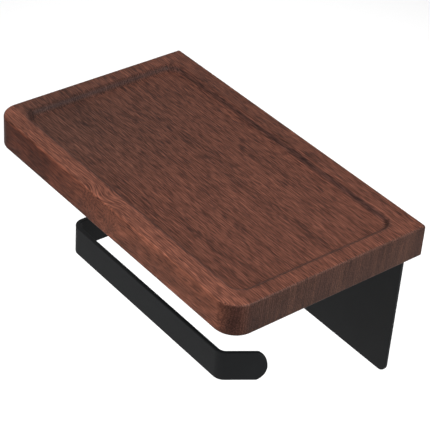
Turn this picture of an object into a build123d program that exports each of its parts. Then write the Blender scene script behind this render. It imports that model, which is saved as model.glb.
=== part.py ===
from build123d import *
import os
from math import cos, radians, sin, sqrt, tan

# A wall-hung toilet roll holder: a walnut shelf with a shallow tray on a black steel bracket.
# The frame has +X to the right, +Y into the wall and +Z up. The origin is on the wall plane,
# midway between the two wall-screw holes. All sizes are in millimetres.

os.makedirs("parts", exist_ok=True)

# Shelf board
board_length = 200.0
board_depth = 120.0
board_thickness = 18.0
board_corner_radius = 12.0  # the two front corners, seen from above
board_edge_radius = 1.2

# Tray routed into the top of the board. Its wall slopes and is rounded into the rim and the floor,
# and the rims are measured to where the slope alone would meet the top.
tray_end_rim = 9.9
tray_side_rim = 10.7
tray_depth = 3.0
tray_corner_radius = 8.0
tray_wall_slope = 60.0  # from level, in degrees
tray_wall_rounding = 2.9  # the radius at the top and at the foot of the wall

# Back bracket, one folded sheet
bracket_sheet = 2.0
bracket_inset = 10.0  # from each end of the board to the bracket's side
bracket_drop = 83.0  # from the board's underside to the plate's lower edge
bracket_bend_inner = 2.0
plate_corner_radius = 5.0
flange_depth = 76.0
flange_corner_radius = 10.0

# Roll arm, a flat strip on edge, folded three times
strip_thickness = 2.5
strip_height = 18.0
arm_reach = 78.0  # from the wall to the strip's front face
rail_length = 135.5  # along the front, between the outer faces' meeting points
lip_length = 25.5  # from the meeting point to the tip
lip_angle = 56.5  # how far the lip turns back to the wall, in degrees
foot_length = 30.0
strip_bend_outer = 7.0
tip_radius = 10.5
tip_corner_radius = 2.0

# Softened edges of the coated sheet and strip
steel_edge_radius = 0.4

# Wall-screw holes
wall_hole_diameter = 5.0
wall_hole_spacing = 120.0
wall_hole_drop = 24.0  # below the board's underside

# Countersunk wood screws up through the flange into the board
screw_diameter = 3.5
screw_head_diameter = 7.0
screw_point_length = 3.0
screw_side_distance = 20.0  # from the bracket's sides
screw_front_distance = 16.0  # from the flange's front edge
screw_back_distance = 20.0  # from the wall
screw_cross_span = 4.0
screw_cross_width = 0.9
screw_cross_depth = 1.4

# Rivets through the plate and the arm's foot, countersunk at the wall side
rivet_diameter = 4.0
rivet_head_diameter = 7.0
rivet_dome_height = 1.8
rivet_spacing = 11.0

# Every countersink is cut at this angle, and the screw and rivet heads fill it
countersink_angle = 90.0

# Fits
hole_clearance = 0.05  # on the radius of every hole that holds a screw or a rivet
point_clearance = 0.5  # beyond a wood screw's point
wood_over_point = 2.5  # between a pilot hole and the tray
rounded_share = 0.97  # the most of the tray wall's slope that its two roundings may take
same_size = 0.001  # two lengths closer than this are the same

# Places worked out from the sizes above
board_under = wall_hole_drop
board_top = board_under + board_thickness
tray_floor = board_top - tray_depth
tray_rounding_limit = rounded_share * tray_depth / (2 * (1 - cos(radians(tray_wall_slope))))
tray_rounding = min(tray_wall_rounding, tray_rounding_limit)
bracket_width = board_length - 2 * bracket_inset
plate_bottom = board_under - bracket_drop
plate_front = -bracket_sheet
flange_under = board_under - bracket_sheet
flange_front = -flange_depth
bend_start = bracket_sheet + bracket_bend_inner
arm_left = -bracket_width / 2
strip_middle = plate_bottom + strip_height / 2
foot_back = plate_front
foot_front = foot_back - strip_thickness
pilot_depth = board_thickness - tray_depth - wood_over_point
screw_length = bracket_sheet + pilot_depth - point_clearance
screw_spacing_x = bracket_width - 2 * screw_side_distance
screw_spacing_y = flange_depth - screw_front_distance - screw_back_distance
screw_rows_y = -screw_back_distance - screw_spacing_y / 2
screw_radius = screw_diameter / 2
screw_head_radius = screw_head_diameter / 2
rivet_radius = rivet_diameter / 2
rivet_head_radius = rivet_head_diameter / 2
head_slope = 1 / tan(radians(countersink_angle / 2))  # a head's height over its growth in radius
screw_head_height = (screw_head_radius - screw_radius) * head_slope
rivet_head_height = (rivet_head_radius - rivet_radius) * head_slope
foot_end = arm_left + foot_length
foot_middle = (foot_end + arm_left + strip_bend_outer) / 2
rivet_places = [(foot_middle + side * rivet_spacing / 2, 0, strip_middle) for side in (-1, 1)]

# Planes that face down from the board and the flange, and back from the plate to the wall
under_board = Plane(origin=(0, screw_rows_y, board_under), x_dir=(1, 0, 0), z_dir=(0, 0, -1))
under_flange = Plane(origin=(0, screw_rows_y, flange_under), x_dir=(1, 0, 0), z_dir=(0, 0, -1))
wall_plane = Plane(origin=(0, 0, 0), x_dir=(1, 0, 0), z_dir=(0, 1, 0))
rivet_planes = [Plane(origin=place, x_dir=(1, 0, 0), z_dir=(0, 1, 0)) for place in rivet_places]

# Shelf board: rounded at its two front corners, square where it meets the wall
with BuildPart() as shelf_board:
    with BuildSketch(Plane.XY.offset(board_under)):
        with Locations((0, -board_depth / 2)):
            board_outline = Rectangle(board_length, board_depth)
        fillet(board_outline.vertices().group_by(Axis.Y)[0], board_corner_radius)
    extrude(amount=board_thickness)
    board_rims = shelf_board.faces().filter_by(Plane.XY).edges()
    fillet(board_rims - board_rims.group_by(Axis.Y)[-1], board_edge_radius)
    with BuildSketch(Plane.XY.offset(board_top)):
        with Locations((0, -board_depth / 2)):
            RectangleRounded(
                board_length - 2 * tray_end_rim, board_depth - 2 * tray_side_rim, tray_corner_radius
            )
    extrude(amount=-tray_depth, taper=90 - tray_wall_slope, mode=Mode.SUBTRACT)
    tray_faces = shelf_board.faces().filter_by(Plane.XY).filter_by_position(Axis.Z, tray_floor, tray_floor)
    fillet(tray_faces[0].edges(), tray_rounding)
    top_face = shelf_board.faces().filter_by(Plane.XY).sort_by(Axis.Z)[-1]
    fillet(top_face.inner_wires()[0].edges(), tray_rounding)
    with Locations(under_board):
        with GridLocations(screw_spacing_x, screw_spacing_y, 2, 2):
            Hole(screw_radius + hole_clearance, pilot_depth)
shelf_board.part.label = "shelf_board"
export_step(shelf_board.part, "parts/shelf_board.step")

# Back bracket: a wall plate whose top folds forward into a flange under the board
with BuildPart() as back_bracket:
    with BuildSketch(Plane.YZ) as bracket_profile:
        with BuildLine():
            Polyline(
                (0, plate_bottom),
                (0, board_under),
                (flange_front, board_under),
                (flange_front, flange_under),
                (plate_front, flange_under),
                (plate_front, plate_bottom),
                close=True,
            )
        make_face()
        corners = bracket_profile.vertices()
        fillet(corners.sort_by_distance((0, 0, board_under))[0], bend_start)
        corners = bracket_profile.vertices()
        fillet(corners.sort_by_distance((0, plate_front, flange_under))[0], bracket_bend_inner)
    extrude(amount=bracket_width / 2, both=True)
    fillet(back_bracket.edges().filter_by(Axis.Y).group_by(Axis.Z)[0], plate_corner_radius)
    fillet(back_bracket.edges().filter_by(Axis.Z).group_by(Axis.Y)[0], flange_corner_radius)
    along_x = back_bracket.edges().filter_by(Axis.X)
    bend_seams = along_x.filter_by_position(Axis.Y, -bend_start, -bend_start)
    bend_seams += along_x.filter_by_position(Axis.Z, board_under - bend_start, board_under - bend_start)
    corner_seams = back_bracket.edges().filter_by(
        lambda edge: abs(edge.length - bracket_sheet) < same_size
    )
    fillet(back_bracket.edges() - bend_seams - corner_seams, steel_edge_radius)
    with Locations(wall_plane):
        with GridLocations(wall_hole_spacing, 1, 2, 1):
            Hole(wall_hole_diameter / 2, bracket_sheet)
    with Locations(under_flange):
        with GridLocations(screw_spacing_x, screw_spacing_y, 2, 2):
            CounterSinkHole(
                screw_radius + hole_clearance,
                screw_head_radius + hole_clearance,
                bracket_sheet,
                countersink_angle,
            )
    with Locations(*rivet_planes):
        CounterSinkHole(
            rivet_radius + hole_clearance,
            rivet_head_radius + hole_clearance,
            bracket_sheet,
            countersink_angle,
        )
back_bracket.part.label = "back_bracket"
export_step(back_bracket.part, "parts/back_bracket.step")

# Roll arm: foot against the plate, side, front rail and a lip that keeps the roll on
lip_corner = (arm_left + rail_length, -arm_reach)
lip_direction = (cos(radians(lip_angle)), sin(radians(lip_angle)))
lip_tip = (lip_corner[0] + lip_length * lip_direction[0], lip_corner[1] + lip_length * lip_direction[1])
tip_plane = Plane(
    origin=(lip_tip[0], lip_tip[1], strip_middle),
    x_dir=(lip_direction[0], lip_direction[1], 0),
    z_dir=(lip_direction[1], -lip_direction[0], 0),
)
tip_rise = tip_radius - sqrt(tip_radius**2 - (strip_height / 2) ** 2)
with BuildPart() as roll_arm:
    with BuildSketch(Plane.XY.offset(plate_bottom)):
        with BuildLine():
            FilletPolyline(
                (foot_end, foot_back),
                (arm_left, foot_back),
                (arm_left, -arm_reach),
                lip_corner,
                lip_tip,
                radius=strip_bend_outer,
            )
            offset(amount=strip_thickness, side=Side.LEFT)
        make_face()
    extrude(amount=strip_height)
    with BuildSketch(tip_plane):
        with Locations((-tip_rise / 2, 0)):
            Rectangle(tip_rise, strip_height)
        with Locations((-tip_radius, 0)):
            Circle(tip_radius, mode=Mode.SUBTRACT)
    extrude(amount=strip_thickness, both=True, mode=Mode.SUBTRACT)
    across_tip = Axis(tip_plane.origin, tip_plane.z_dir)
    fillet(roll_arm.edges().filter_by(across_tip), tip_corner_radius)
    foot_end_edges = roll_arm.edges().filter_by(Axis.Z).filter_by_position(Axis.X, foot_end, foot_end)
    long_edges = roll_arm.edges() - roll_arm.edges().filter_by(Axis.Z)
    long_edges = long_edges - long_edges.filter_by(across_tip)
    fillet(long_edges + foot_end_edges, steel_edge_radius)
    with Locations(*rivet_planes):
        Hole(rivet_radius + hole_clearance, bracket_sheet + strip_thickness)
roll_arm.part.label = "roll_arm"
export_step(roll_arm.part, "parts/roll_arm.step")

# One wood screw, standing point up with its head's face at the origin
with BuildPart() as wood_screw:
    with BuildSketch(Plane.XZ):
        with BuildLine():
            Polyline(
                (0, 0),
                (screw_head_radius, 0),
                (screw_radius, screw_head_height),
                (screw_radius, screw_length - screw_point_length),
                (0, screw_length),
                close=True,
            )
        make_face()
    revolve(axis=Axis.Z)
    with BuildSketch(Plane.XY):
        Rectangle(screw_cross_span, screw_cross_width)
        Rectangle(screw_cross_width, screw_cross_span)
    extrude(amount=screw_cross_depth, mode=Mode.SUBTRACT)

with BuildPart() as board_screws:
    with Locations((0, screw_rows_y, flange_under)):
        with GridLocations(screw_spacing_x, screw_spacing_y, 2, 2):
            add(wood_screw.part)
board_screws.part.label = "board_screws"
export_step(board_screws.part, "parts/board_screws.step")

# One rivet along Y, its flush countersunk head at the origin and its domed end at the front
with BuildPart() as rivet:
    with BuildSketch(Plane.XY):
        with BuildLine():
            dome_edge = (rivet_head_radius, foot_front)
            dome_top = (0, foot_front - rivet_dome_height)
            Polyline(
                dome_top,
                (0, 0),
                (rivet_head_radius, 0),
                (rivet_radius, -rivet_head_height),
                (rivet_radius, foot_front),
                dome_edge,
            )
            TangentArc(dome_top, dome_edge, tangent=(1, 0))
        make_face()
    revolve(axis=Axis.Y)

with BuildPart() as arm_rivets:
    with Locations(*rivet_places):
        add(rivet.part)
arm_rivets.part.label = "arm_rivets"
export_step(arm_rivets.part, "parts/arm_rivets.step")
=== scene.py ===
from math import atan2, cos, degrees, pi, radians, sin, sqrt, tan

import bpy
from mathutils import Euler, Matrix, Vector


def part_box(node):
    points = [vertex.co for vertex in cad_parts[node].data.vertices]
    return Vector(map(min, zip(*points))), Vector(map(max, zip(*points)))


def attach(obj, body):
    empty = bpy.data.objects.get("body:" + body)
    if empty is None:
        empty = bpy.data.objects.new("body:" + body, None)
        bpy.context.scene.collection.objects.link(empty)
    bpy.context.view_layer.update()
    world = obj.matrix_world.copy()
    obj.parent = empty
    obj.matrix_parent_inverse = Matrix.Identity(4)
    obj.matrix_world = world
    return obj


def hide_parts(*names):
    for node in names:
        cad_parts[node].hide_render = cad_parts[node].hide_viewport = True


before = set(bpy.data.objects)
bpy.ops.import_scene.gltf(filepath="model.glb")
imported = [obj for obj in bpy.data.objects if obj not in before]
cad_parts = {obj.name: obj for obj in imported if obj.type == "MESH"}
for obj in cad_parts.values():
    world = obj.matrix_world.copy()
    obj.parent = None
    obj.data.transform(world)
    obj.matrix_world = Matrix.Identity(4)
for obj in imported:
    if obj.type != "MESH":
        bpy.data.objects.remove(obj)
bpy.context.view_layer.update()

MM = 0.001

# Sizes of the wooden shelf, in metres
shelf_low, shelf_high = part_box("shelf_board")
front_corner = 12 * MM
back_corner = 0.6 * MM
top_rounding = 1.2 * MM
back_easing = 0.25  # the rims that meet the wall are only just eased
tray_end_rim = 9.9 * MM  # to where the slope of the tray's wall would meet the top
tray_side_rim = 10.7 * MM
tray_depth = 3 * MM
tray_corner = 8 * MM
tray_slope = radians(60)
tray_rounding = 2.9 * MM  # at the top and at the foot of the wall

# Sizes of the folded steel, in metres
bracket_low, bracket_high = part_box("back_bracket")
arm_low, arm_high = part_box("roll_arm")
screws_low, screws_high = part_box("board_screws")
rivets_low, rivets_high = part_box("arm_rivets")
sheet = 2 * MM
sheet_bend = 2 * MM
plate_corner = 5 * MM
flange_corner = 10 * MM
strip = 2.5 * MM
strip_bend = 4.5 * MM
strip_corner = 1.2 * MM
foot_length = 30 * MM
rail_length = 135.5 * MM
lip_length = 25.5 * MM
lip_angle = radians(56.5)
tip_radius = 10.5 * MM
tip_corner = 2 * MM
edge_rounding = 0.4 * MM
wall_hole_radius = 2.5 * MM
wall_hole_spacing = 120 * MM
hole_clearance = 0.05 * MM
screw_radius = 1.75 * MM
head_radius = 3.5 * MM
head_rim = 0.25 * MM  # how high the screw head's edge stands before its cone starts
plain_shank = 3.2 * MM  # from the head's face to the start of the thread
thread_run_out = 0.5 * MM
thread_pitch = 1.1 * MM
core_radius = 1.2 * MM
point_length = 3 * MM
recess_span = 4.2 * MM
recess_width = 0.95 * MM
recess_depth = 1.6 * MM
rivet_radius = 2 * MM
dome_shoulder = 0.93  # the radius of the dome's shoulder and of its crown, over the head's radius
dome_crown = 0.42


# ---------------------------------------------------------------- small helpers


def colour(hex_code):
    """An sRGB hex colour as linear light, for a shader's socket."""
    parts = [int(hex_code[i : i + 2], 16) / 255 for i in (1, 3, 5)]
    linear = [c / 12.92 if c <= 0.04045 else ((c + 0.055) / 1.055) ** 2.4 for c in parts]
    return (*linear, 1.0)


def add(tree, kind, sockets=None, **settings):
    """Adds a node with its settings, and gives each socket its value or the output that it reads."""
    made = tree.nodes.new(kind)
    for name, value in settings.items():
        setattr(made, name, value)
    for key, value in (sockets or {}).items():
        if isinstance(value, bpy.types.NodeSocket):
            tree.links.new(value, made.inputs[key])
        else:
            made.inputs[key].default_value = value
    return made


def add_piece(name, vertices, faces, material=None):
    """A mesh object at the origin with smooth faces, and sharp edges where it really turns."""
    mesh = bpy.data.meshes.new(name)
    mesh.from_pydata([tuple(v) for v in vertices], [], faces)
    mesh.validate()
    mesh.shade_smooth()
    mesh.set_sharp_from_angle(angle=radians(35))
    piece = bpy.data.objects.new(name, mesh)
    bpy.context.scene.collection.objects.link(piece)
    if material:
        mesh.materials.append(material)
    return piece


def settle(piece, name):
    """Swaps a piece for the plain mesh that its modifiers make."""
    graph = bpy.context.evaluated_depsgraph_get()
    mesh = bpy.data.meshes.new_from_object(piece.evaluated_get(graph))
    piece.modifiers.clear()
    piece.data = mesh
    piece.name = mesh.name = name
    mesh.set_sharp_from_angle(angle=radians(35))
    return piece


def hand_over(piece, nodes):
    """Gives a finished piece to the frame, in place of the nodes that it stands for."""
    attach(piece, "root")
    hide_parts(*nodes)


# ---------------------------------------------------------------- materials


def new_material(name):
    material = bpy.data.materials.new(name)
    material.use_nodes = True
    material.node_tree.nodes.clear()
    return material, material.node_tree


def walnut_material():
    """Solid walnut, planed, routed and rubbed with a dark hard-wax oil: straight growth streaks along the
    shelf, short open pores, dark streaked end grain, painted shade and sheen on the tray wall, and a
    satin skin."""
    material, tree = new_material("oiled_walnut")
    place = add(tree, "ShaderNodeTexCoord").outputs["Object"]
    place = add(tree, "ShaderNodeVectorMath", {0: place, 1: (1000, 1000, 1000)}, operation="MULTIPLY")
    place = place.outputs[0]  # in millimetres
    across = add(tree, "ShaderNodeSeparateXYZ", {0: place})
    end_grain = add(tree, "ShaderNodeAttribute", attribute_name="end_grain").outputs["Fac"]
    front_face = add(tree, "ShaderNodeAttribute", attribute_name="front_face").outputs["Fac"]
    painted_corner_shade = add(tree, "ShaderNodeAttribute", attribute_name="painted_corner_shade").outputs["Fac"]
    painted_rim_highlight = add(tree, "ShaderNodeAttribute", attribute_name="painted_rim_highlight").outputs["Fac"]
    tray_wall = add(tree, "ShaderNodeAttribute", attribute_name="tray_wall").outputs["Fac"]

    # The growth layers stand nearly upright and run along the shelf. They wander by half a
    # millimetre, and bend round a small knot that lies just behind the front face.
    knot = (-4, -121, 35)
    slow = add(
        tree, "ShaderNodeVectorMath", {0: place, 1: (1 / 90, 1 / 40, 1 / 25)}, operation="MULTIPLY"
    )
    wander = add(
        tree, "ShaderNodeTexNoise", {"Vector": slow.outputs[0], "Scale": 1.0, "Detail": 1.0},
        normalize=False,
    )
    grain = add(
        tree, "ShaderNodeVectorMath", {0: wander.outputs["Color"], 1: (0, 0.8, 1.5), 2: place},
        operation="MULTIPLY_ADD",
    )
    from_knot = add(tree, "ShaderNodeVectorMath", {0: place, 1: knot}, operation="DISTANCE")
    pushed = add(
        tree, "ShaderNodeMapRange", {0: from_knot.outputs["Value"], 1: 2, 2: 16, 3: 5.5, 4: 0},
        interpolation_type="SMOOTHSTEP",
    )
    pushed = add(tree, "ShaderNodeCombineXYZ", {1: pushed.outputs[0]})
    grain = add(tree, "ShaderNodeVectorMath", {0: grain.outputs[0], 1: pushed.outputs[0]})
    grain = add(
        tree, "ShaderNodeVectorRotate", {"Vector": grain.outputs[0], "Angle": radians(3)},
        rotation_type="X_AXIS",
    )

    # Layers of noise, and how long, wide and deep each one's lumps are, in millimetres
    layers = {}
    for name, size, detail, seed in (
        ("bands", (160, 9, 45), 2.0, 3.1),
        ("streaks", (75, 1.1, 24), 3.0, 17.7),
        ("fibres", (6, 0.36, 0.36), 1.0, 41.3),
        ("mottle", (16, 7, 9), 3.0, 63.9),
        ("end_streaks", (60, 2.6, 60), 2.0, 85.2),
    ):
        scaled = add(
            tree, "ShaderNodeVectorMath",
            {0: grain.outputs[0], 1: [1 / s for s in size], 2: (seed, seed, seed)},
            operation="MULTIPLY_ADD",
        )
        layers[name] = add(
            tree, "ShaderNodeTexNoise",
            {"Vector": scaled.outputs[0], "Scale": 1.0, "Detail": detail, "Roughness": 0.55},
        ).outputs["Fac"]

    mixed = add(tree, "ShaderNodeMath", {0: layers["bands"], 1: 0.30}, operation="MULTIPLY")
    for name, share in (("streaks", 0.50), ("mottle", 0.20)):
        mixed = add(
            tree, "ShaderNodeMath", {0: layers[name], 1: share, 2: mixed.outputs[0]},
            operation="MULTIPLY_ADD",
        )
    # The rim in front of the tray is cut from one growth layer, so its streaks show less
    in_front = add(
        tree, "ShaderNodeMapRange", {0: across.outputs["Y"], 1: -111.5, 2: -108.5, 3: 1.0, 4: 0.0}
    )
    one_layer = add(tree, "ShaderNodeMath", {0: in_front.outputs[0], 1: 0.6}, operation="MULTIPLY")
    mixed = add(
        tree, "ShaderNodeMix", {0: one_layer.outputs[0], 2: mixed.outputs[0], 3: 0.5}, data_type="FLOAT"
    )
    tones = add(tree, "ShaderNodeValToRGB", {"Fac": mixed.outputs[0]})
    ramp = tones.color_ramp
    ramp.elements[0].position, ramp.elements[0].color = 0.28, colour("#46291f")
    ramp.elements[1].position, ramp.elements[1].color = 0.72, colour("#5e382c")
    middle = ramp.elements.new(0.5)
    middle.color = colour("#533126")

    # Light and dark fibres
    lightness = add(
        tree, "ShaderNodeMapRange", {0: layers["fibres"], 1: 0.32, 2: 0.68, 3: 0.55, 4: 1.45}
    )
    # Fine growth lines that waver along the shelf, and show less where the front cuts them flat
    line_pitch = 1.2
    wave_turn = 20  # a wave texture of scale 1 turns by this many radians in a millimetre
    drawn_out = add(
        tree, "ShaderNodeVectorMath", {0: grain.outputs[0], 1: (1 / 14, 1, 1)}, operation="MULTIPLY"
    )
    lines = add(
        tree, "ShaderNodeTexWave",
        {
            "Vector": drawn_out.outputs[0], "Scale": 2 * pi / (wave_turn * line_pitch),
            "Distortion": 6.0, "Detail": 2.0, "Detail Scale": 4.0, "Detail Roughness": 0.5,
        },
        wave_type="BANDS", bands_direction="Y", wave_profile="SIN",
    )
    lines = add(tree, "ShaderNodeMapRange", {0: lines.outputs["Fac"], 3: 0.68, 4: 1.32})
    flat_cut = add(tree, "ShaderNodeMath", {0: front_face, 1: 0.65}, operation="MULTIPLY")
    lines = add(
        tree, "ShaderNodeMix", {0: flat_cut.outputs[0], 2: lines.outputs[0], 3: 1.0}, data_type="FLOAT"
    )
    lightness = add(
        tree, "ShaderNodeMath", {0: lightness.outputs[0], 1: lines.outputs[0]}, operation="MULTIPLY"
    )
    # The rims at both ends are a little paler, where the oil was wiped off
    from_middle = add(tree, "ShaderNodeMath", {0: across.outputs["X"]}, operation="ABSOLUTE")
    at_ends = add(tree, "ShaderNodeMapRange", {0: from_middle.outputs[0], 1: 90, 2: 93})
    at_ends = add(
        tree, "ShaderNodeMath", {0: at_ends.outputs[0], 1: end_grain},
        operation="SUBTRACT", use_clamp=True,
    )
    # How much lighter each place is than the rest: most of all the growth layer along the front. The
    # front face is painted lighter, the front rim's rounding gets a painted highlight, and the rounded
    # corners get painted shade, each by the way it faces
    for share, gain in (
        (in_front.outputs[0], 0.55), (front_face, 0.5), (painted_rim_highlight, 0.4), (end_grain, 0.12),
        (painted_corner_shade, -0.4), (at_ends.outputs[0], 0.14),
    ):
        change = add(tree, "ShaderNodeMath", {0: share, 1: gain, 2: 1.0}, operation="MULTIPLY_ADD")
        lightness = add(
            tree, "ShaderNodeMath", {0: lightness.outputs[0], 1: change.outputs[0]}, operation="MULTIPLY"
        )
    # The front face shows the broad cloudy figure more than the top does
    figure = add(tree, "ShaderNodeMapRange", {0: layers["mottle"], 1: 0.36, 2: 0.64, 3: 0.78, 4: 1.22})
    figure = add(
        tree, "ShaderNodeMix", {0: front_face, 2: 1.0, 3: figure.outputs[0]}, data_type="FLOAT"
    )
    lightness = add(
        tree, "ShaderNodeMath", {0: lightness.outputs[0], 1: figure.outputs[0]}, operation="MULTIPLY"
    )
    toned = add(
        tree, "ShaderNodeVectorMath", {0: tones.outputs["Color"], "Scale": lightness.outputs[0]},
        operation="SCALE",
    )

    # Open pores: short dark dashes along the grain, dots on the end grain, more in some layers
    cells = add(
        tree, "ShaderNodeVectorMath", {0: grain.outputs[0], 1: (1 / 8, 1 / 0.55, 1 / 0.55)},
        operation="MULTIPLY",
    )
    pore = add(tree, "ShaderNodeTexVoronoi", {"Vector": cells.outputs[0], "Scale": 1.0})
    pore_size = add(
        tree, "ShaderNodeMapRange", {0: mixed.outputs[0], 1: 0.38, 2: 0.62, 3: 0.44, 4: 0.22}
    )
    pore_edge = add(
        tree, "ShaderNodeMath", {0: pore_size.outputs[0], 1: pore.outputs["Distance"]},
        operation="SUBTRACT",
    )
    pore_mask = add(
        tree, "ShaderNodeMapRange", {0: pore_edge.outputs[0], 1: -0.05, 2: 0.10, 3: 0.0, 4: 0.9}
    )
    filled = add(
        tree, "ShaderNodeMath", {0: in_front.outputs[0], 1: -0.3, 2: 1.0}, operation="MULTIPLY_ADD"
    )
    pore_mask = add(
        tree, "ShaderNodeMath", {0: pore_mask.outputs[0], 1: filled.outputs[0]}, operation="MULTIPLY"
    )
    with_pores = add(
        tree, "ShaderNodeMix",
        {0: pore_mask.outputs[0], 6: toned.outputs[0], 7: colour("#261512")}, data_type="RGBA",
    )

    # End grain drinks more oil: it is darker and greyer, in upright streaks
    streaked = add(
        tree, "ShaderNodeMapRange", {0: layers["end_streaks"], 1: 0.4, 2: 0.6, 3: 1.0, 4: 0.0}
    )
    end_tone = add(
        tree, "ShaderNodeMix",
        {0: streaked.outputs[0], 6: colour("#d4f2ff"), 7: colour("#bcd8ea")}, data_type="RGBA",
    )
    ended = add(
        tree, "ShaderNodeMix",
        {0: end_grain, 6: with_pores.outputs[2], 7: end_tone.outputs[2]},
        data_type="RGBA", blend_type="MULTIPLY",
    )
    # The front face shows the growth layers flat, and is darker and redder towards the left
    to_right = add(
        tree, "ShaderNodeMapRange", {0: across.outputs["X"], 1: -65, 2: 30},
        interpolation_type="SMOOTHSTEP",
    )
    darker_to_left = add(
        tree, "ShaderNodeMix",
        {0: to_right.outputs[0], 6: colour("#b8a091"), 7: colour("#fff8ee")}, data_type="RGBA",
    )
    fronted = add(
        tree, "ShaderNodeMix",
        {0: front_face, 6: ended.outputs[2], 7: darker_to_left.outputs[2]},
        data_type="RGBA", blend_type="MULTIPLY",
    )
    # Painted shade on the rounded corners, where they face between the front and the ends: redder here,
    # and darker in the lightness above
    with_corner_shade = add(
        tree, "ShaderNodeMix",
        {0: painted_corner_shade, 6: fronted.outputs[2], 7: colour("#ffe8e5")},
        data_type="RGBA", blend_type="MULTIPLY",
    )
    # A painted sheen: a greyer patch towards the tray's front left corner stands in for a soft reflection
    sheen_middle = (-70, -98, 39)
    from_sheen = add(tree, "ShaderNodeVectorMath", {0: place, 1: sheen_middle}, operation="DISTANCE")
    painted_sheen = add(
        tree, "ShaderNodeMapRange", {0: from_sheen.outputs["Value"], 1: 12, 2: 75, 3: 1.0, 4: 0.0}
    )
    painted_sheen = add(
        tree, "ShaderNodeMath", {0: painted_sheen.outputs[0], 1: in_front.outputs[0]},
        operation="SUBTRACT", use_clamp=True,
    )
    with_painted_sheen = add(
        tree, "ShaderNodeMix",
        {0: painted_sheen.outputs[0], 6: with_corner_shade.outputs[2], 7: colour("#eaf8ff")},
        data_type="RGBA", blend_type="MULTIPLY",
    )
    # Painted shade and sheen: the tray's wall is darker and greyer
    walled = add(
        tree, "ShaderNodeMix",
        {0: tray_wall, 6: with_painted_sheen.outputs[2], 7: colour("#d0dcea")},
        data_type="RGBA", blend_type="MULTIPLY",
    )

    relief = add(
        tree, "ShaderNodeMath", {0: pore_mask.outputs[0], 1: -1.0, 2: layers["fibres"]},
        operation="MULTIPLY_ADD",
    )
    bump = add(
        tree, "ShaderNodeBump", {"Strength": 0.35, "Distance": 0.12 * MM, "Height": relief.outputs[0]}
    )
    satin = add(tree, "ShaderNodeMapRange", {0: layers["fibres"], 1: 0.3, 2: 0.7, 3: 0.56, 4: 0.44})
    skin = add(
        tree, "ShaderNodeBsdfPrincipled",
        {
            "Base Color": walled.outputs[2], "Roughness": satin.outputs[0],
            "IOR": 1.5, "Specular IOR Level": 0.1, "Normal": bump.outputs[0],
        },
    )
    add(tree, "ShaderNodeOutputMaterial", {"Surface": skin.outputs[0]})
    return material


def powder_coat_material():
    """Black polyester powder coat on steel, sprayed and baked: matt, with a fine orange peel."""
    material, tree = new_material("black_powder_coat")
    place = add(tree, "ShaderNodeTexCoord").outputs["Object"]
    # Orange peel about 1.1 mm across, and grit about 0.25 mm, drawn at 0.5 mm so that it shows
    peel = add(tree, "ShaderNodeTexNoise", {"Vector": place, "Scale": 1 / (1.1 * MM), "Detail": 1.0})
    grit = add(tree, "ShaderNodeTexNoise", {"Vector": place, "Scale": 1 / (0.5 * MM), "Detail": 2.0})
    cloud = add(tree, "ShaderNodeTexNoise", {"Vector": place, "Scale": 1 / (30 * MM), "Detail": 2.0})
    tone = add(
        tree, "ShaderNodeMath", {0: cloud.outputs["Fac"], 1: grit.outputs["Fac"]}, operation="MULTIPLY"
    )
    base = add(tree, "ShaderNodeValToRGB", {"Fac": tone.outputs[0]})
    base.color_ramp.elements[0].position, base.color_ramp.elements[0].color = 0.1, colour("#101113")
    base.color_ramp.elements[1].position, base.color_ramp.elements[1].color = 0.4, colour("#17191b")
    roughness = add(
        tree, "ShaderNodeMapRange",
        {"Value": grit.outputs["Fac"], "From Min": 0.3, "From Max": 0.7, "To Min": 0.52, "To Max": 0.64},
    )
    relief = add(
        tree, "ShaderNodeMath", {0: grit.outputs["Fac"], 1: 0.35, 2: peel.outputs["Fac"]},
        operation="MULTIPLY_ADD",
    )
    bump = add(
        tree, "ShaderNodeBump", {"Strength": 0.3, "Distance": 0.06 * MM, "Height": relief.outputs[0]}
    )
    skin = add(
        tree, "ShaderNodeBsdfPrincipled",
        {
            "Base Color": base.outputs["Color"], "Roughness": roughness.outputs[0],
            "Specular IOR Level": 0.22, "Normal": bump.outputs[0],
        },
    )
    add(tree, "ShaderNodeOutputMaterial", {"Surface": skin.outputs[0]})
    return material


def screw_steel_material():
    """Hardened steel with a black oxide skin: dark and satin, with a fine mottle of paler and darker
    spots.
    """
    material, tree = new_material("black_oxide_steel")
    place = add(tree, "ShaderNodeTexCoord").outputs["Object"]
    mottle = add(tree, "ShaderNodeTexNoise", {"Vector": place, "Scale": 1 / (0.8 * MM), "Detail": 3.0})
    base = add(tree, "ShaderNodeValToRGB", {"Fac": mottle.outputs["Fac"]})
    base.color_ramp.elements[0].position, base.color_ramp.elements[0].color = 0.35, colour("#2b2b2d")
    base.color_ramp.elements[1].position, base.color_ramp.elements[1].color = 0.7, colour("#4a4a4c")
    roughness = add(
        tree, "ShaderNodeMapRange",
        {"Value": mottle.outputs["Fac"], "From Min": 0.3, "From Max": 0.7, "To Min": 0.5, "To Max": 0.34},
    )
    skin = add(
        tree, "ShaderNodeBsdfPrincipled",
        {"Base Color": base.outputs["Color"], "Roughness": roughness.outputs[0], "Metallic": 0.85},
    )
    add(tree, "ShaderNodeOutputMaterial", {"Surface": skin.outputs[0]})
    return material


def floor_material():
    """Matt white paint."""
    material, tree = new_material("white_floor")
    skin = add(
        tree, "ShaderNodeBsdfPrincipled",
        {"Base Color": colour("#fafafa"), "Roughness": 0.9, "Specular IOR Level": 0.1},
    )
    add(tree, "ShaderNodeOutputMaterial", {"Surface": skin.outputs[0]})
    return material


walnut = walnut_material()
powder_coat = powder_coat_material()
screw_steel = screw_steel_material()


# ---------------------------------------------------------------- wooden shelf

CORNER_STEPS = 14
SIDE_STEPS = 6


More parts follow.
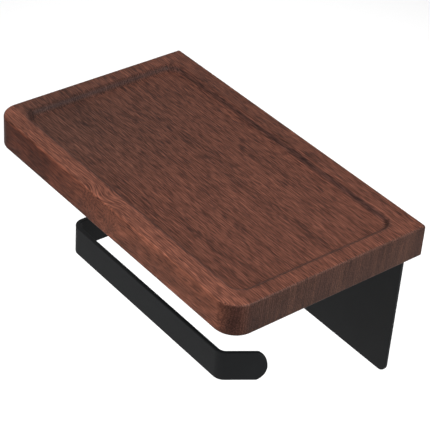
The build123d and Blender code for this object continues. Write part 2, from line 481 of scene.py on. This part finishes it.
def rounded_outline(left, right, front, back, front_radius, back_radius):
    """Points round a rounded rectangle, anticlockwise from the middle of the back's right corner."""
    points = []
    corners = [
        (right - back_radius, back - back_radius, back_radius, 0),
        (left + back_radius, back - back_radius, back_radius, 1),
        (left + front_radius, front + front_radius, front_radius, 2),
        (right - front_radius, front + front_radius, front_radius, 3),
    ]
    for place, (x, y, radius, quarter) in enumerate(corners):
        arc = []
        for step in range(CORNER_STEPS + 1):
            angle = pi / 2 * (quarter + step / CORNER_STEPS)
            arc.append(Vector((x + radius * cos(angle), y + radius * sin(angle), 0)))
        points += arc
        x, y, radius, quarter = corners[(place + 1) % 4]
        angle = pi / 2 * quarter
        target = Vector((x + radius * cos(angle), y + radius * sin(angle), 0))
        points += [arc[-1].lerp(target, step / SIDE_STEPS) for step in range(1, SIDE_STEPS)]
    return points


def make_shelf():
    """The shelf as rings that run from its underside round the rim and down into the tray."""
    left, front, under = shelf_low
    right, back, top = shelf_high
    rings, walled = [], []  # each ring's points, and how much it belongs to the tray's wall

    def shelf_ring(inset, height):
        outline = rounded_outline(
            left + inset, right - inset, front + inset, back - back_easing * inset,
            front_corner - inset, back_corner,
        )
        rings.append([Vector((p.x, p.y, height)) for p in outline])
        walled.append(0.0)

    def tray_ring(inset, height, wall):
        outline = rounded_outline(
            left + tray_end_rim + inset, right - tray_end_rim - inset,
            front + tray_side_rim + inset, back - tray_side_rim - inset,
            tray_corner - inset, tray_corner - inset,
        )
        rings.append([Vector((p.x, p.y, height)) for p in outline])
        walled.append(wall)

    flat = 1.5 * MM  # a flat stretch beside each rounding of the rim, which keeps its shading crisp
    tray_flat = 0.8 * MM
    quarter = [pi / 2 * step / 6 for step in range(7)]
    shelf_ring(top_rounding + flat, under)
    for angle in quarter:
        shelf_ring(top_rounding * (1 - sin(angle)), under + top_rounding * (1 - cos(angle)))
    for angle in reversed(quarter):
        shelf_ring(top_rounding * (1 - sin(angle)), top - top_rounding * (1 - cos(angle)))
    shelf_ring(top_rounding + flat, top)
    # The tray's wall is two arcs, over the lip and into the cove, with a short slope between them
    reach = tray_rounding * tan(tray_slope / 2)
    foot = tray_depth / tan(tray_slope) + reach
    slopes = [tray_slope * step / 10 for step in range(11)]
    tray_ring(-reach - tray_flat, top, 0.0)
    for slope in slopes:
        height = top - tray_rounding * (1 - cos(slope))
        tray_ring(tray_rounding * sin(slope) - reach, height, slope / tray_slope)
    for slope in reversed(slopes):
        height = top - tray_depth + tray_rounding * (1 - cos(slope))
        tray_ring(foot - tray_rounding * sin(slope), height, slope / tray_slope)
    tray_ring(foot + tray_flat, top - tray_depth, 0.0)

    count = len(rings[0])
    vertices = [point for ring in rings for point in ring]
    faces = []
    for ring in range(len(rings) - 1):
        for place in range(count):
            a, b = ring * count + place, ring * count + (place + 1) % count
            faces.append((a, b, b + count, a + count))
    # Each cap is a ladder of rungs between the points that face each other across the middle
    first = CORNER_STEPS + SIDE_STEPS // 2
    for start, turn in ((0, -1), ((len(rings) - 1) * count, 1)):
        around = [start + (first + step) % count for step in range(count)]
        faces.append((around[-1], around[0], around[1])[::turn])
        for step in range(1, count // 2 - 1):
            faces.append((around[-step], around[step], around[step + 1], around[-step - 1])[::turn])
        faces.append((around[count // 2 + 1], around[count // 2 - 1], around[count // 2])[::turn])
    shelf = add_piece("walnut_shelf", vertices, faces, walnut)

    # How squarely each point faces the ends and the front, how near it is to the middle of the front
    # rim's rounding, and how far it is on the tray's wall, where less of the end grain is open
    names = ("end_grain", "front_face", "painted_corner_shade", "painted_rim_highlight", "tray_wall")
    for name in names:
        shelf.data.attributes.new(name, "FLOAT", "POINT")
    shares = {name: shelf.data.attributes[name].data for name in names}
    for vertex in shelf.data.vertices:
        x, y, z = vertex.normal
        wall = walled[vertex.index // count]
        shares["end_grain"][vertex.index].value = min(1.0, abs(x) + abs(x * y)) * (1 - 0.7 * wall)
        shares["front_face"][vertex.index].value = max(0.0, -y) ** 2 * (1 - wall)
        # Painted shade on the rounded corners, by how squarely they face between the front and the ends
        shares["painted_corner_shade"][vertex.index].value = 2 * abs(x * y) * (1 - wall)
        # A painted highlight along the front rim's rounding, where it faces the front and up
        shares["painted_rim_highlight"][vertex.index].value = 2 * max(0.0, -y) * max(0.0, z) * (1 - wall)
        shares["tray_wall"][vertex.index].value = wall
    return shelf


shelf = make_shelf()


# ---------------------------------------------------------------- folded steel


def fold_tree(name, corner_count):
    """A tree that folds a flat blank along a path of rounded corners. The blank's X runs along the
    path, its Y goes through the sheet and its Z across it."""
    tree = bpy.data.node_groups.new(name, "GeometryNodeTree")
    sockets = [("Blank", "NodeSocketGeometry")]
    sockets += [(f"Corner {i + 1}", "NodeSocketVector") for i in range(corner_count)]
    sockets += [
        ("Bend Radius", "NodeSocketFloat"),
        ("Across", "NodeSocketVector"),
        ("Finish", "NodeSocketMaterial"),
    ]
    for socket_name, socket_type in sockets:
        tree.interface.new_socket(socket_name, in_out="INPUT", socket_type=socket_type)
    tree.interface.new_socket("Folded", in_out="OUTPUT", socket_type="NodeSocketGeometry")
    sizes = add(tree, "NodeGroupInput").outputs

    line = add(tree, "GeometryNodeMeshLine", {"Count": corner_count})
    pick = add(tree, "GeometryNodeIndexSwitch", data_type="VECTOR")
    while len(pick.index_switch_items) < corner_count:
        pick.index_switch_items.new()
    tree.links.new(add(tree, "GeometryNodeInputIndex").outputs[0], pick.inputs["Index"])
    for i in range(corner_count):
        tree.links.new(sizes[f"Corner {i + 1}"], pick.inputs[str(i)])
    line = add(
        tree, "GeometryNodeSetPosition", {"Geometry": line.outputs[0], "Position": pick.outputs[0]}
    )
    path = add(tree, "GeometryNodeMeshToCurve", {"Mesh": line.outputs[0]})
    path = add(
        tree, "GeometryNodeFilletCurve",
        {"Curve": path.outputs[0], "Count": 48, "Radius": sizes["Bend Radius"]}, mode="POLY",
    )
    flat = add(tree, "ShaderNodeSeparateXYZ", {0: add(tree, "GeometryNodeInputPosition").outputs[0]})
    along = add(
        tree, "GeometryNodeSampleCurve", {"Curves": path.outputs[0], "Length": flat.outputs["X"]},
        mode="LENGTH", use_all_curves=True,
    )
    side = add(
        tree, "ShaderNodeVectorMath", {0: sizes["Across"], 1: along.outputs["Tangent"]},
        operation="CROSS_PRODUCT",
    )
    side = add(tree, "ShaderNodeVectorMath", {0: side.outputs[0]}, operation="NORMALIZE")
    through = add(
        tree, "ShaderNodeVectorMath", {0: side.outputs[0], "Scale": flat.outputs["Y"]},
        operation="SCALE",
    )
    across = add(
        tree, "ShaderNodeVectorMath", {0: sizes["Across"], "Scale": flat.outputs["Z"]},
        operation="SCALE",
    )
    place = add(tree, "ShaderNodeVectorMath", {0: along.outputs["Position"], 1: through.outputs[0]})
    place = add(tree, "ShaderNodeVectorMath", {0: place.outputs[0], 1: across.outputs[0]})
    folded = add(
        tree, "GeometryNodeSetPosition", {"Geometry": sizes["Blank"], "Position": place.outputs[0]}
    )
    solid = add(tree, "GeometryNodeRealizeInstances", {"Geometry": folded.outputs[0]})
    done = add(
        tree, "GeometryNodeSetMaterial", {"Geometry": solid.outputs[0], "Material": sizes["Finish"]}
    )
    add(tree, "NodeGroupOutput", {0: done.outputs[0]})
    return tree


def use_tree(piece, tree, values):
    """Puts a tree on a piece, with its inputs set by their identifiers."""
    modifier = piece.modifiers.new("Shape", "NODES")
    modifier.node_group = tree
    for item in tree.interface.items_tree:
        if item.item_type == "SOCKET" and item.in_out == "INPUT" and item.name in values:
            modifier[item.identifier] = values[item.name]


def fold_stations(corners, radius):
    """The length of the folded path, and where along it the blank needs points to bend smoothly."""
    legs = [b - a for a, b in zip(corners, corners[1:])]
    turns = [a.angle(b) for a, b in zip(legs, legs[1:])]
    stations, at = [], 0.0
    for place, leg in enumerate(legs):
        before = radius * tan(turns[place - 1] / 2) if place else 0.0
        after = radius * tan(turns[place] / 2) if place < len(turns) else 0.0
        at += leg.length - before - after
        if place < len(turns):
            arc = radius * turns[place]
            steps = max(6, round(degrees(turns[place]) / 5))
            stations += [at - 0.6 * MM]
            stations += [at + arc * step / steps for step in range(steps + 1)]
            at += arc
            stations += [at + 0.6 * MM]
    return at, stations


def arc_points(centre, radius, start, end, steps):
    """Points on an arc and their outward normals, in the blank's plane."""
    for step in range(steps + 1):
        angle = start + (end - start) * step / steps
        yield (
            centre[0] + radius * cos(angle), centre[1] + radius * sin(angle), cos(angle), sin(angle)
        )


def blank_half(length, half_width, start_corner, end_arcs, stations):
    """Half of a blank's outline, from its start to its far end, on the side where Z is positive."""
    outline = list(arc_points((start_corner, half_width - start_corner), start_corner, pi, pi / 2, 12))
    first, last = outline[-1][0] + 0.5 * MM, end_arcs[0][0] - 0.5 * MM
    outline += [(s, half_width, 0.0, 1.0) for s in [first, *stations, last]]
    return outline + end_arcs


def make_blank(name, half, thickness):
    """A flat strip or sheet with rounded rims, as rings round its outline and rungs across its faces."""
    outline = half + [(s, -z, ns, -nz) for s, z, ns, nz in reversed(half)]
    count = len(outline)
    profile = [(edge_rounding + 0.35 * MM, thickness / 2)]
    for step in range(6):
        angle = pi / 2 * step / 5
        profile.append(
            (edge_rounding * (1 - sin(angle)), thickness / 2 - edge_rounding * (1 - cos(angle)))
        )
    profile += [(inset, -height) for inset, height in reversed(profile)]
    vertices = [
        (s - inset * ns, height, z - inset * nz) for inset, height in profile for s, z, ns, nz in outline
    ]
    faces = []
    for ring in range(len(profile) - 1):
        for place in range(count):
            a, b = ring * count + place, ring * count + (place + 1) % count
            faces.append((a, b, b + count, a + count))
    for start, turn in ((0, -1), ((len(profile) - 1) * count, 1)):
        for place in range(count // 2 - 1):
            a, b = start + place, start + place + 1
            c, d = start + count - 2 - place, start + count - 1 - place
            faces.append((a, b, c, d)[::turn])
    return add_piece(name, vertices, faces)


def face_outward(piece):
    """Turns a closed mesh's faces outwards, by the sign of its volume."""
    mesh = piece.data
    mesh.calc_loop_triangles()
    volume = 0.0
    for triangle in mesh.loop_triangles:
        a, b, c = (mesh.vertices[i].co for i in triangle.vertices)
        volume += a.dot(b.cross(c)) / 6
    if volume < 0:
        mesh.flip_normals()


def make_arm():
    """The roll arm, one flat strip folded three times, with a bowed tip."""
    half = strip / 2
    middle = (arm_low.z + arm_high.z) / 2
    half_width = (arm_high.z - arm_low.z) / 2
    foot_y, side_x, rail_y = arm_high.y - half, arm_low.x + half, arm_low.y + half
    turned = rail_length - half * tan(lip_angle / 2)
    lip_x = arm_low.x + turned
    lip = Vector((cos(lip_angle), sin(lip_angle), 0))
    tip = Vector((arm_low.x + rail_length, arm_low.y, middle)) + lip * lip_length
    tip += half * Vector((-lip.y, lip.x, 0))
    corners = [
        Vector((arm_low.x + foot_length, foot_y, middle)),
        Vector((side_x, foot_y, middle)),
        Vector((side_x, rail_y, middle)),
        Vector((lip_x, rail_y, middle)),
        tip,
    ]
    radius = strip_bend + half
    length, stations = fold_stations(corners, radius)
    bow = length - tip_radius
    inner = tip_radius - tip_corner
    offset = sqrt(inner**2 - (half_width - tip_corner) ** 2)
    lean = atan2(half_width - tip_corner, offset)
    tip_arcs = list(arc_points((bow + offset, half_width - tip_corner), tip_corner, pi / 2, lean, 8))
    tip_arcs += list(arc_points((bow, 0), tip_radius, lean, radians(2), 16))[1:]
    blank = blank_half(length, half_width, strip_corner, tip_arcs, stations)
    arm = make_blank("folded_arm", blank, strip)
    values = {f"Corner {i + 1}": corner for i, corner in enumerate(corners)}
    values |= {"Bend Radius": radius, "Across": (0.0, 0.0, 1.0), "Finish": powder_coat}
    use_tree(arm, fold_tree("Fold Strip", len(corners)), values)
    settle(arm, "folded_arm")
    face_outward(arm)
    return arm


def make_bracket():
    """The back bracket, one sheet folded square; its holes are cut afterwards."""
    half = sheet / 2
    half_width = (bracket_high.x - bracket_low.x) / 2
    corners = [
        Vector((0, bracket_high.y - half, bracket_low.z)),
        Vector((0, bracket_high.y - half, bracket_high.z - half)),
        Vector((0, bracket_low.y, bracket_high.z - half)),
    ]
    radius = sheet_bend + half
    length, stations = fold_stations(corners, radius)
    far_corner = list(
        arc_points((length - flange_corner, half_width - flange_corner), flange_corner, pi / 2, 0, 16)
    )
    blank = blank_half(length, half_width, plate_corner, far_corner, stations)
    bracket = make_blank("folded_bracket", blank, sheet)
    values = {f"Corner {i + 1}": corner for i, corner in enumerate(corners)}
    values |= {"Bend Radius": radius, "Across": (1.0, 0.0, 0.0), "Finish": powder_coat}
    use_tree(bracket, fold_tree("Fold Sheet", len(corners)), values)
    settle(bracket, "folded_bracket")
    face_outward(bracket)
    return bracket


bracket = make_bracket()
arm = make_arm()


# ---------------------------------------------------------------- turned hardware


def cut_holes(piece, cutters):
    """Cuts turned shapes out of a piece. Each is the middle of its wide end, the way it goes, and its
    rings as pairs of radius and depth."""
    vertices, faces, around = [], [], 48
    for start, direction, rings in cutters:
        turn = Vector(direction).to_track_quat("Z", "Y").to_matrix()
        base = len(vertices)
        for radius, depth in rings:
            for step in range(around):
                angle = 2 * pi * step / around
                spot = Vector((radius * cos(angle), radius * sin(angle), depth))
                vertices.append(Vector(start) + turn @ spot)
        for ring in range(len(rings) - 1):
            for step in range(around):
                p, q = base + ring * around + step, base + ring * around + (step + 1) % around
                faces.append((p, q, q + around, p + around))
        faces.append(tuple(range(base + around - 1, base - 1, -1)))
        last = base + (len(rings) - 1) * around
        faces.append(tuple(range(last, last + around)))
    cutter = add_piece("cutter", vertices, faces)
    modifier = piece.modifiers.new("Holes", "BOOLEAN")
    modifier.operation = "DIFFERENCE"
    modifier.solver = "EXACT"
    modifier.object = cutter
    settle(piece, piece.name)
    bpy.data.objects.remove(cutter)


def turned_tree(name, corner_count, recess=False, thread=False):
    """A tree that turns a profile of rounded corners about Z, and stands copies of it on a grid."""
    tree = bpy.data.node_groups.new(name, "GeometryNodeTree")
    tree.interface.new_socket("Base", in_out="INPUT", socket_type="NodeSocketGeometry")
    wanted = [(f"Corner {i + 1}", "Vector") for i in range(corner_count)]
    wanted += [(f"Rounding {i + 1}", "Float") for i in range(corner_count)]
    wanted += [
        ("Middle", "Vector"), ("Spacing X", "Float"), ("Spacing Y", "Float"), ("Rows", "Int"),
        ("Tilt", "Vector"), ("Finish", "Material"),
    ]
    if thread:
        wanted += [(f"Thread {part}", "Float") for part in ("Start", "Height", "Radius", "Pitch")]
        wanted += [("Point Start", "Float"), ("Point Height", "Float")]
    if recess:
        wanted += [(f"Recess {part}", "Float") for part in ("Span", "Width", "Depth")]
    for socket_name, kind in wanted:
        tree.interface.new_socket(socket_name, in_out="INPUT", socket_type=f"NodeSocket{kind}")
    tree.interface.new_socket("Hardware", in_out="OUTPUT", socket_type="NodeSocketGeometry")
    sizes = add(tree, "NodeGroupInput").outputs
    index = add(tree, "GeometryNodeInputIndex").outputs[0]

    line = add(tree, "GeometryNodeMeshLine", {"Count": corner_count})
    picks = {}
    for label, data_type in (("Corner", "VECTOR"), ("Rounding", "FLOAT")):
        pick = add(tree, "GeometryNodeIndexSwitch", {"Index": index}, data_type=data_type)
        while len(pick.index_switch_items) < corner_count:
            pick.index_switch_items.new()
        for i in range(corner_count):
            tree.links.new(sizes[f"{label} {i + 1}"], pick.inputs[str(i)])
        picks[label] = pick.outputs[0]
    line = add(
        tree, "GeometryNodeSetPosition", {"Geometry": line.outputs[0], "Position": picks["Corner"]}
    )
    profile = add(tree, "GeometryNodeMeshToCurve", {"Mesh": line.outputs[0]})
    profile = add(
        tree, "GeometryNodeFilletCurve",
        {"Curve": profile.outputs[0], "Count": 5, "Radius": picks["Rounding"], "Limit Radius": True},
        mode="POLY",
    )
    # A grid is wrapped round the axis: each of its columns is the profile, turned a step further
    around = 40
    count = add(tree, "GeometryNodeAttributeDomainSize", {0: profile.outputs[0]}, component="CURVE")
    count = count.outputs["Point Count"]
    wrap = add(
        tree, "GeometryNodeMeshGrid",
        {"Size X": 1.0, "Size Y": 1.0, "Vertices X": around + 1, "Vertices Y": count},
    )
    row = add(tree, "ShaderNodeMath", {0: index, 1: count}, operation="MODULO")
    column = add(tree, "ShaderNodeMath", {0: index, 1: count}, operation="DIVIDE")
    column = add(tree, "ShaderNodeMath", {0: column.outputs[0]}, operation="FLOOR")
    angle = add(
        tree, "ShaderNodeMath", {0: column.outputs[0], 1: 2 * pi / around}, operation="MULTIPLY"
    )
    here = add(tree, "GeometryNodeInputPosition").outputs[0]
    spot = add(
        tree, "GeometryNodeSampleIndex",
        {"Geometry": profile.outputs[0], "Value": here, "Index": row.outputs[0]},
        data_type="FLOAT_VECTOR", domain="POINT",
    )
    turned = add(
        tree, "ShaderNodeVectorRotate", {"Vector": spot.outputs[0], "Angle": angle.outputs[0]},
        rotation_type="Z_AXIS",
    )
    body = add(
        tree, "GeometryNodeSetPosition",
        {"Geometry": wrap.outputs["Mesh"], "Position": turned.outputs[0]},
    )
    body = add(
        tree, "GeometryNodeMergeByDistance", {"Geometry": body.outputs[0], "Distance": 0.002 * MM}
    )
    body = body.outputs[0]

    if recess:
        # A cross-shaped recess that narrows towards its bottom, cut from the head
        depth = sizes["Recess Depth"]
        arms = []
        for along, over in (("Recess Span", "Recess Width"), ("Recess Width", "Recess Span")):
            size = add(tree, "ShaderNodeCombineXYZ", {0: sizes[along], 1: sizes[over], 2: depth})
            arms.append(add(tree, "GeometryNodeMeshCube", {"Size": size.outputs[0]}).outputs["Mesh"])
        cross = add(
            tree, "GeometryNodeMeshBoolean", {"Mesh 2": arms[0]}, operation="UNION", solver="EXACT"
        )
        tree.links.new(arms[1], cross.inputs["Mesh 2"])
        height = add(tree, "ShaderNodeSeparateXYZ", {0: here}).outputs["Z"]
        share = add(tree, "ShaderNodeMath", {0: height, 1: depth}, operation="DIVIDE")
        narrow = add(
            tree, "ShaderNodeMapRange", {0: share.outputs[0], 1: -0.5, 2: 0.5, 3: 1.0, 4: 0.5}
        )
        shrink = add(
            tree, "ShaderNodeCombineXYZ", {0: narrow.outputs[0], 1: narrow.outputs[0], 2: 1.0}
        )
        moved = add(
            tree, "ShaderNodeVectorMath", {0: here, 1: shrink.outputs[0]}, operation="MULTIPLY"
        )
        # Lifted by a little less than half, so that it cuts through the head's face
        lift = add(tree, "ShaderNodeMath", {0: depth, 1: 0.49}, operation="MULTIPLY")
        lift = add(tree, "ShaderNodeCombineXYZ", {2: lift.outputs[0]})
        cross = add(
            tree, "GeometryNodeSetPosition",
            {"Geometry": cross.outputs["Mesh"], "Position": moved.outputs[0], "Offset": lift.outputs[0]},
        )
        body = add(
            tree, "GeometryNodeMeshBoolean", {"Mesh 1": body, "Mesh 2": cross.outputs[0]},
            operation="DIFFERENCE", solver="EXACT",
        ).outputs["Mesh"]

    if thread:
        # A sharp ridge wound round the shank, and everything drawn in to a point at its end
        tall, pitch, radius = (sizes[f"Thread {part}"] for part in ("Height", "Pitch", "Radius"))
        turns = add(tree, "ShaderNodeMath", {0: tall, 1: pitch}, operation="DIVIDE")
        helix = add(
            tree, "GeometryNodeCurveSpiral",
            {
                "Resolution": 28, "Rotations": turns.outputs[0],
                "Start Radius": radius, "End Radius": radius, "Height": tall,
            },
        )
        ridge_radius = add(tree, "ShaderNodeMath", {0: pitch, 1: 0.36}, operation="MULTIPLY")
        ridge = add(
            tree, "GeometryNodeCurvePrimitiveCircle",
            {"Resolution": 3, "Radius": ridge_radius.outputs[0]},
        )
        ridge = add(
            tree, "GeometryNodeCurveToMesh",
            {"Curve": helix.outputs[0], "Profile Curve": ridge.outputs["Curve"], "Fill Caps": True},
        )
        lift = add(tree, "ShaderNodeCombineXYZ", {2: sizes["Thread Start"]})
        ridge = add(
            tree, "GeometryNodeTransform",
            {"Geometry": ridge.outputs[0], "Translation": lift.outputs[0]},
        )
        joined = add(tree, "GeometryNodeJoinGeometry", {0: body})
        tree.links.new(ridge.outputs[0], joined.inputs[0])
        height = add(tree, "ShaderNodeSeparateXYZ", {0: here}).outputs["Z"]
        end = add(tree, "ShaderNodeMath", {0: sizes["Point Start"], 1: sizes["Point Height"]})
        drawn = add(
            tree, "ShaderNodeMapRange",
            {0: height, 1: sizes["Point Start"], 2: end.outputs[0], 3: 1.0, 4: 0.04},
        )
        shrink = add(
            tree, "ShaderNodeCombineXYZ", {0: drawn.outputs[0], 1: drawn.outputs[0], 2: 1.0}
        )
        moved = add(
            tree, "ShaderNodeVectorMath", {0: here, 1: shrink.outputs[0]}, operation="MULTIPLY"
        )
        body = add(
            tree, "GeometryNodeSetPosition",
            {"Geometry": joined.outputs[0], "Position": moved.outputs[0]},
        ).outputs[0]

    spots = add(
        tree, "GeometryNodeMeshGrid",
        {
            "Size X": sizes["Spacing X"], "Size Y": sizes["Spacing Y"],
            "Vertices X": 2, "Vertices Y": sizes["Rows"],
        },
    )
    spots = add(
        tree, "GeometryNodeTransform",
        {"Geometry": spots.outputs["Mesh"], "Translation": sizes["Middle"]},
    )
    # Each copy is turned about its own axis by chance, as fasteners end up when they are driven
    spin = add(
        tree, "FunctionNodeRandomValue", {"Min": 0.0, "Max": 2 * pi, "Seed": 7}, data_type="FLOAT"
    )
    spin = add(tree, "ShaderNodeCombineXYZ", {2: spin.outputs["Value"]})
    turn = add(tree, "FunctionNodeRotateEuler", {0: spin.outputs[0], 1: sizes["Tilt"]})
    copies = add(
        tree, "GeometryNodeInstanceOnPoints",
        {"Points": spots.outputs[0], "Instance": body, "Rotation": turn.outputs[0]},
    )
    solid = add(tree, "GeometryNodeRealizeInstances", {"Geometry": copies.outputs[0]})
    smooth = add(tree, "GeometryNodeSetShadeSmooth", {"Geometry": solid.outputs[0]})
    done = add(
        tree, "GeometryNodeSetMaterial", {"Geometry": smooth.outputs[0], "Material": sizes["Finish"]}
    )
    add(tree, "NodeGroupOutput", {0: done.outputs[0]})
    return tree


def make_hardware(name, tree, corners, values):
    """Copies of one turned part. Each corner is (radius, height, rounding)."""
    piece = add_piece(name, [(0, 0, 0)], [])
    for i, (radius, height, rounding) in enumerate(corners):
        values |= {f"Corner {i + 1}": (radius, 0.0, height), f"Rounding {i + 1}": rounding}
    use_tree(piece, tree, values)
    settle(piece, name)
    face_outward(piece)
    return piece


# Wood screws: heads flush with the flange's underside, points up in the wood
screw_spacing_x = screws_high.x - screws_low.x - 2 * head_radius
screw_spacing_y = screws_high.y - screws_low.y - 2 * head_radius
screw_length = screws_high.z - screws_low.z
screw_middle = (screws_low + screws_high) / 2
screw_middle.z = screws_low.z
head_edge = head_radius - 0.01 * MM
screw_corners = [
    (0.0, 0.0, 0.0),
    (head_edge, 0.0, 0.12 * MM),
    (head_edge, head_rim, 0.05 * MM),
    (screw_radius, head_radius - screw_radius + head_rim, 0.4 * MM),
    (screw_radius, plain_shank, 0.2 * MM),
    (core_radius, plain_shank + thread_run_out, 0.3 * MM),
    (core_radius, screw_length - point_length, 0.0),
    (core_radius, screw_length, 0.0),
    (0.0, screw_length, 0.0),
]
thread_start = plain_shank + 0.8 * MM
screws = make_hardware(
    "shelf_screws",
    turned_tree("Wood Screws", len(screw_corners), recess=True, thread=True),
    screw_corners,
    {
        "Middle": screw_middle, "Spacing X": screw_spacing_x, "Spacing Y": screw_spacing_y, "Rows": 2,
        "Tilt": (0.0, 0.0, 0.0), "Finish": screw_steel,
        "Thread Start": thread_start, "Thread Height": screw_length - thread_start - 0.4 * MM,
        "Thread Pitch": thread_pitch, "Thread Radius": core_radius + 0.14 * MM,
        "Point Start": screw_length - point_length, "Point Height": point_length,
        "Recess Span": recess_span, "Recess Width": recess_width, "Recess Depth": recess_depth,
    },
)

# Rivets: flush countersunk at the wall side, domed in front of the arm's foot
rivet_head = (rivets_high.z - rivets_low.z) / 2
rivet_spacing = rivets_high.x - rivets_low.x - 2 * rivet_head
rivet_middle = (rivets_low + rivets_high) / 2
rivet_middle.y = rivets_high.y
rivet_end = rivets_high.y - rivets_low.y
dome_start = sheet + strip
dome = rivet_end - dome_start
rivet_corners = [
    (0.0, 0.0, 0.0),
    (rivet_head - 0.05 * MM, 0.0, 0.05 * MM),
    (rivet_radius, rivet_head - rivet_radius, 0.1 * MM),
    (rivet_radius, dome_start, 0.0),
    (rivet_head, dome_start, 0.1 * MM),
    (rivet_head * dome_shoulder, dome_start + dome * 0.62, 0.9 * MM),
    (rivet_head * dome_crown, rivet_end, 2.2 * MM),
    (0.0, rivet_end, 0.0),
]
rivets = make_hardware(
    "foot_rivets",
    turned_tree("Rivets", len(rivet_corners)),
    rivet_corners,
    {
        "Middle": rivet_middle, "Spacing X": rivet_spacing, "Spacing Y": 0.0, "Rows": 1,
        "Tilt": (pi / 2, 0.0, 0.0), "Finish": powder_coat,
    },
)

# The bracket's holes. Each cutter stands out of the sheet on both sides.
STAND_OUT = 1 * MM
cut_length = sheet + 2 * STAND_OUT


def countersink(head, shank):
    """The rings of a countersunk hole that clears a head and a shank of these radii."""
    wide, narrow = head + hole_clearance, shank + hole_clearance
    cone_end = STAND_OUT + wide - narrow
    return [(wide, 0), (wide, STAND_OUT), (narrow, cone_end), (narrow, cut_length)]


into_room, upwards = (0, -1, 0), (0, 0, 1)
holes = []
for side in (-1, 1):
    wall_hole = (side * wall_hole_spacing / 2, STAND_OUT, 0.0)
    holes.append((wall_hole, into_room, [(wall_hole_radius, 0), (wall_hole_radius, cut_length)]))
    rivet_hole = rivet_middle + Vector((side * rivet_spacing / 2, STAND_OUT, 0.0))
    holes.append((rivet_hole, into_room, countersink(rivet_head, rivet_radius)))
    for row in (-1, 1):
        screw_hole = screw_middle + Vector(
            (side * screw_spacing_x / 2, row * screw_spacing_y / 2, -STAND_OUT)
        )
        holes.append((screw_hole, upwards, countersink(head_radius, screw_radius)))
cut_holes(bracket, holes)

hand_over(shelf, ["shelf_board"])
hand_over(bracket, ["back_bracket"])
hand_over(arm, ["roll_arm"])
hand_over(screws, ["board_screws"])
hand_over(rivets, ["arm_rivets"])


# ---------------------------------------------------------------- floor, lights and camera

FLOOR_DROP = 1.15  # the holder hangs on a wall, this far above the floor
shelf_middle = (shelf_low + shelf_high) / 2

FLOOR_RADIUS = 14.0
FLOOR_SIDES = 64
floor_angles = [2 * pi * side / FLOOR_SIDES for side in range(FLOOR_SIDES)]
floor_points = [(FLOOR_RADIUS * cos(a), FLOOR_RADIUS * sin(a), -FLOOR_DROP) for a in floor_angles]
floor = add_piece("floor", floor_points, [tuple(range(FLOOR_SIDES))], floor_material())

world = bpy.data.worlds.new("studio")
bpy.context.scene.world = world
world.use_nodes = True
world.node_tree.nodes.clear()
glow = add(world.node_tree, "ShaderNodeBackground", {"Color": (1.0, 1.0, 1.0, 1.0), "Strength": 0.36})
add(world.node_tree, "ShaderNodeOutputWorld", {"Surface": glow.outputs[0]})


def add_light(name, kind, energy, azimuth, elevation, distance=1.0, **settings):
    """A soft lamp that shines on the shelf from this azimuth and elevation, in degrees."""
    data = bpy.data.lights.new(name, kind)
    data.energy = energy
    for key, value in settings.items():
        setattr(data, key, value)
    lamp = bpy.data.objects.new(name, data)
    a, e = radians(azimuth), radians(elevation)
    back = Vector((sin(a) * cos(e), -cos(a) * cos(e), sin(e)))
    lamp.location = shelf_middle + back * distance
    lamp.rotation_mode = "QUATERNION"
    lamp.rotation_quaternion = (-back).to_track_quat("-Z", "Y")
    bpy.context.scene.collection.objects.link(lamp)
    return lamp


add_light("overhead_sun", "SUN", 0.6, 10, 75, angle=radians(60))
add_light("right_panel", "AREA", 3.9, 110, 38, 0.6, shape="SQUARE", size=0.25)
add_light("front_panel", "AREA", 3.6, -22, 40, 0.9, shape="SQUARE", size=0.4)
add_light("back_panel", "AREA", 0.35, -130, 34, 0.8, shape="SQUARE", size=0.5)
add_light("under_panel", "AREA", 0.8, -30, -82, 0.9, shape="SQUARE", size=0.4)

# A lamp of its own for the stretch of floor behind the shelf
floor_lamp = add_light(
    "floor_lamp", "SPOT", 90, 0, 90, 0.0,
    spot_size=radians(120), spot_blend=1.0, shadow_soft_size=0.2,
)
floor_lamp.location = (-1.25, 1.05, 0.7)

# The camera looks at the shelf from its front right, from above, and leans a little
AIM = Vector((17.706, -64.398, 24.0)) * MM
CAMERA_AZIMUTH = radians(49.4926)
CAMERA_ELEVATION = radians(35.5352)
CAMERA_ROLL = radians(4.4244)
CAMERA_DISTANCE = 812.766 * MM

camera = bpy.data.objects.new("camera", bpy.data.cameras.new("camera"))
bpy.context.scene.collection.objects.link(camera)
bpy.context.scene.camera = camera
camera.data.sensor_width = 36
camera.data.lens = 135.761
back = Vector(
    (
        sin(CAMERA_AZIMUTH) * cos(CAMERA_ELEVATION),
        -cos(CAMERA_AZIMUTH) * cos(CAMERA_ELEVATION),
        sin(CAMERA_ELEVATION),
    )
)
camera.rotation_mode = "QUATERNION"
camera.location = AIM + back * CAMERA_DISTANCE
lean = Euler((0, 0, CAMERA_ROLL)).to_quaternion()
camera.rotation_quaternion = (-back).to_track_quat("-Z", "Y") @ lean

view = bpy.context.scene.view_settings
view.view_transform = "Standard"
view.look = "None"
view.exposure = 0.0
view.gamma = 1.0
